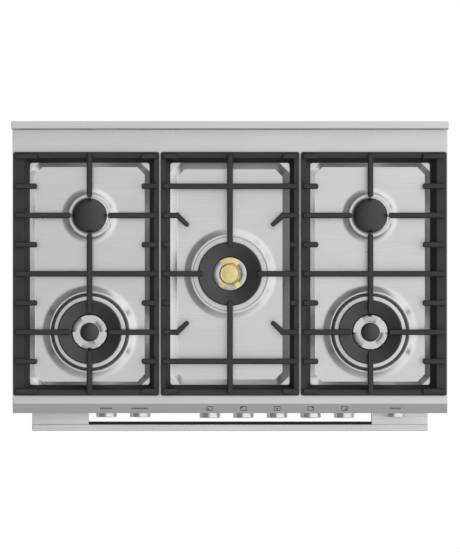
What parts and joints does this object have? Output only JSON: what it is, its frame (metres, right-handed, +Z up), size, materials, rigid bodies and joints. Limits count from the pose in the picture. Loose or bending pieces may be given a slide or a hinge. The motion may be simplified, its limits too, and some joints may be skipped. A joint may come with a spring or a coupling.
{
  "type": "freestanding gas range",
  "caption": "Freestanding gas range: brushed hob with cast-iron grates and a wok burner, knobs along the front, an oven behind a full-width handle and a warming drawer.",
  "frame": {"origin": "on the floor, under the middle of the range's width and of its depth from the handle to the rear", "axes": "+Z up, -Y towards the cook, +X to the cook's right"},
  "size_m": [0.896, 0.64, 0.962],
  "materials": {
    "brushed_stainless": "stainless sheet with a fine satin brush",
    "chrome_plate": "polished chrome plate",
    "chrome_wire": "chromed round wire",
    "enamelled_cast_iron": "matt black enamel on cast iron",
    "black_enamel": "matt black vitreous enamel",
    "cast_aluminium": "machined cast aluminium",
    "brass": "satin machined brass",
    "painted_steel": "grey powder coat on sheet steel",
    "galvanised_steel": "zinc-coated sheet steel",
    "oven_enamel": "dark glossy vitreous enamel",
    "dark_glass": "dark tinted tempered glass",
    "seal_rubber": "woven and silicone door seal",
    "black_nylon": "black moulded nylon"
  },
  "bodies": {
    "root": {"hob_top": "brushed_stainless", "backguard": "brushed_stainless", "rear_left_burner_base": "cast_aluminium", "rear_right_burner_base": "cast_aluminium", "front_left_burner_base": "cast_aluminium", "front_left_burner_ring": "black_enamel", "front_right_burner_base": "cast_aluminium", "front_right_burner_ring": "black_enamel", "centre_burner_base": "cast_aluminium", "centre_burner_ring": "black_enamel", "centre_burner_crown": "brass", "control_panel": "brushed_stainless", "display_window": "dark_glass", "gas_manifold": "galvanised_steel", "switch_rail": "black_nylon", "side_panel_left": "painted_steel", "side_panel_right": "painted_steel", "back_panel": "galvanised_steel", "base_pan": "galvanised_steel", "foot_front_left": "black_nylon", "foot_front_right": "black_nylon", "foot_rear_left": "black_nylon", "foot_rear_right": "black_nylon", "oven_liner": "oven_enamel", "grill_element": "galvanised_steel", "door_seal": "seal_rubber", "door_hinge_left": "galvanised_steel", "door_hinge_right": "galvanised_steel", "drawer_runner_left": "galvanised_steel", "drawer_runner_right": "galvanised_steel"},
    "oven_door": {"door_frame": "brushed_stainless", "door_glass_outer": "dark_glass", "door_glass_inner": "dark_glass", "door_handle": "brushed_stainless"},
    "warming_drawer": {"drawer_front": "brushed_stainless", "drawer_tray": "galvanised_steel"},
    "rack_lower": {"oven_rack_lower": "chrome_wire"},
    "rack_upper": {"oven_rack_upper": "chrome_wire"},
    "grate_left_body": {"grate_left": "enamelled_cast_iron"},
    "grate_centre_body": {"grate_centre": "enamelled_cast_iron"},
    "grate_right_body": {"grate_right": "enamelled_cast_iron"},
    "fan": {"convection_fan": "galvanised_steel"},
    "cap_rear_left": {"rear_left_burner_cap": "black_enamel"},
    "cap_rear_right": {"rear_right_burner_cap": "black_enamel"},
    "cap_front_left": {"front_left_burner_cap": "black_enamel"},
    "cap_front_right": {"front_right_burner_cap": "black_enamel"},
    "cap_centre": {"centre_burner_cap": "brass"},
    "knob_function_body": {"knob_function": "chrome_plate"},
    "knob_temperature_body": {"knob_temperature": "chrome_plate"},
    "knob_warmer_body": {"knob_warmer": "chrome_plate"},
    "spindle_front_left_body": {"spindle_front_left": "galvanised_steel"},
    "knob_front_left_body": {"knob_front_left": "chrome_plate"},
    "spindle_rear_left_body": {"spindle_rear_left": "galvanised_steel"},
    "knob_rear_left_body": {"knob_rear_left": "chrome_plate"},
    "spindle_centre_body": {"spindle_centre": "galvanised_steel"},
    "knob_centre_body": {"knob_centre": "chrome_plate"},
    "spindle_rear_right_body": {"spindle_rear_right": "galvanised_steel"},
    "knob_rear_right_body": {"knob_rear_right": "chrome_plate"},
    "spindle_front_right_body": {"spindle_front_right": "galvanised_steel"},
    "knob_front_right_body": {"knob_front_right": "chrome_plate"}
  },
  "joints": [
    {"name": "door_hinge", "type": "hinge", "parent": "root", "child": "oven_door", "pos_m": [0, -0.245, 0.283], "axis": [1, 0, 0], "range_deg": [0, 90], "stiffness_Nm_per_rad": 25, "springref_deg": -6.88},
    {"name": "drawer_slide", "type": "slide", "parent": "root", "child": "warming_drawer", "axis": [0, -1, 0], "range_m": [0, 0.36]},
    {"name": "rack_lower_slide", "type": "slide", "parent": "root", "child": "rack_lower", "axis": [0, -1, 0], "range_m": [0, 0.02]},
    {"name": "rack_upper_slide", "type": "slide", "parent": "root", "child": "rack_upper", "axis": [0, -1, 0], "range_m": [0, 0.02]},
    {"name": "grate_left_lift", "type": "slide", "parent": "root", "child": "grate_left_body", "axis": [0, 0, 1], "range_m": [0, 0.08]},
    {"name": "grate_centre_lift", "type": "slide", "parent": "root", "child": "grate_centre_body", "axis": [0, 0, 1], "range_m": [0, 0.08]},
    {"name": "grate_right_lift", "type": "slide", "parent": "root", "child": "grate_right_body", "axis": [0, 0, 1], "range_m": [0, 0.08]},
    {"name": "cap_rear_left_lift", "type": "slide", "parent": "root", "child": "cap_rear_left", "axis": [0, 0, 1], "range_m": [0, 0.05]},
    {"name": "cap_rear_right_lift", "type": "slide", "parent": "root", "child": "cap_rear_right", "axis": [0, 0, 1], "range_m": [0, 0.05]},
    {"name": "cap_front_left_lift", "type": "slide", "parent": "root", "child": "cap_front_left", "axis": [0, 0, 1], "range_m": [0, 0.05]},
    {"name": "cap_front_right_lift", "type": "slide", "parent": "root", "child": "cap_front_right", "axis": [0, 0, 1], "range_m": [0, 0.05]},
    {"name": "cap_centre_lift", "type": "slide", "parent": "root", "child": "cap_centre", "axis": [0, 0, 1], "range_m": [0, 0.05]},
    {"name": "knob_function_turn", "type": "hinge", "parent": "root", "child": "knob_function_body", "pos_m": [-0.2554, -0.27735, 0.853], "axis": [0, 1, 0], "range_deg": [0, 300]},
    {"name": "knob_temperature_turn", "type": "hinge", "parent": "root", "child": "knob_temperature_body", "pos_m": [-0.1857, -0.27735, 0.853], "axis": [0, 1, 0], "range_deg": [0, 270]},
    {"name": "knob_warmer_turn", "type": "hinge", "parent": "root", "child": "knob_warmer_body", "pos_m": [0.3412, -0.27735, 0.853], "axis": [0, 1, 0], "range_deg": [0, 270]},
    {"name": "spindle_front_left_push", "type": "slide", "parent": "root", "child": "spindle_front_left_body", "axis": [0, 1, 0], "range_m": [0, 0.003], "stiffness_N_per_m": 800},
    {"name": "knob_front_left_turn", "type": "hinge", "parent": "spindle_front_left_body", "child": "knob_front_left_body", "pos_m": [-0.0418, -0.27735, 0.853], "axis": [0, -1, 0], "range_deg": [0, 210]},
    {"name": "spindle_rear_left_push", "type": "slide", "parent": "root", "child": "spindle_rear_left_body", "axis": [0, 1, 0], "range_m": [0, 0.003], "stiffness_N_per_m": 800},
    {"name": "knob_rear_left_turn", "type": "hinge", "parent": "spindle_rear_left_body", "child": "knob_rear_left_body", "pos_m": [0.0277, -0.27735, 0.853], "axis": [0, -1, 0], "range_deg": [0, 210]},
    {"name": "spindle_centre_push", "type": "slide", "parent": "root", "child": "spindle_centre_body", "axis": [0, 1, 0], "range_m": [0, 0.003], "stiffness_N_per_m": 800},
    {"name": "knob_centre_turn", "type": "hinge", "parent": "spindle_centre_body", "child": "knob_centre_body", "pos_m": [0.0972, -0.27735, 0.853], "axis": [0, -1, 0], "range_deg": [0, 210]},
    {"name": "spindle_rear_right_push", "type": "slide", "parent": "root", "child": "spindle_rear_right_body", "axis": [0, 1, 0], "range_m": [0, 0.003], "stiffness_N_per_m": 800},
    {"name": "knob_rear_right_turn", "type": "hinge", "parent": "spindle_rear_right_body", "child": "knob_rear_right_body", "pos_m": [0.1667, -0.27735, 0.853], "axis": [0, -1, 0], "range_deg": [0, 210]},
    {"name": "spindle_front_right_push", "type": "slide", "parent": "root", "child": "spindle_front_right_body", "axis": [0, 1, 0], "range_m": [0, 0.003], "stiffness_N_per_m": 800},
    {"name": "knob_front_right_turn", "type": "hinge", "parent": "spindle_front_right_body", "child": "knob_front_right_body", "pos_m": [0.2362, -0.27735, 0.853], "axis": [0, -1, 0], "range_deg": [0, 210]},
    {"name": "fan_spin", "type": "hinge", "parent": "root", "child": "fan", "pos_m": [0, 0.176, 0.53335], "axis": [0, 1, 0], "continuous": true}
  ]
}
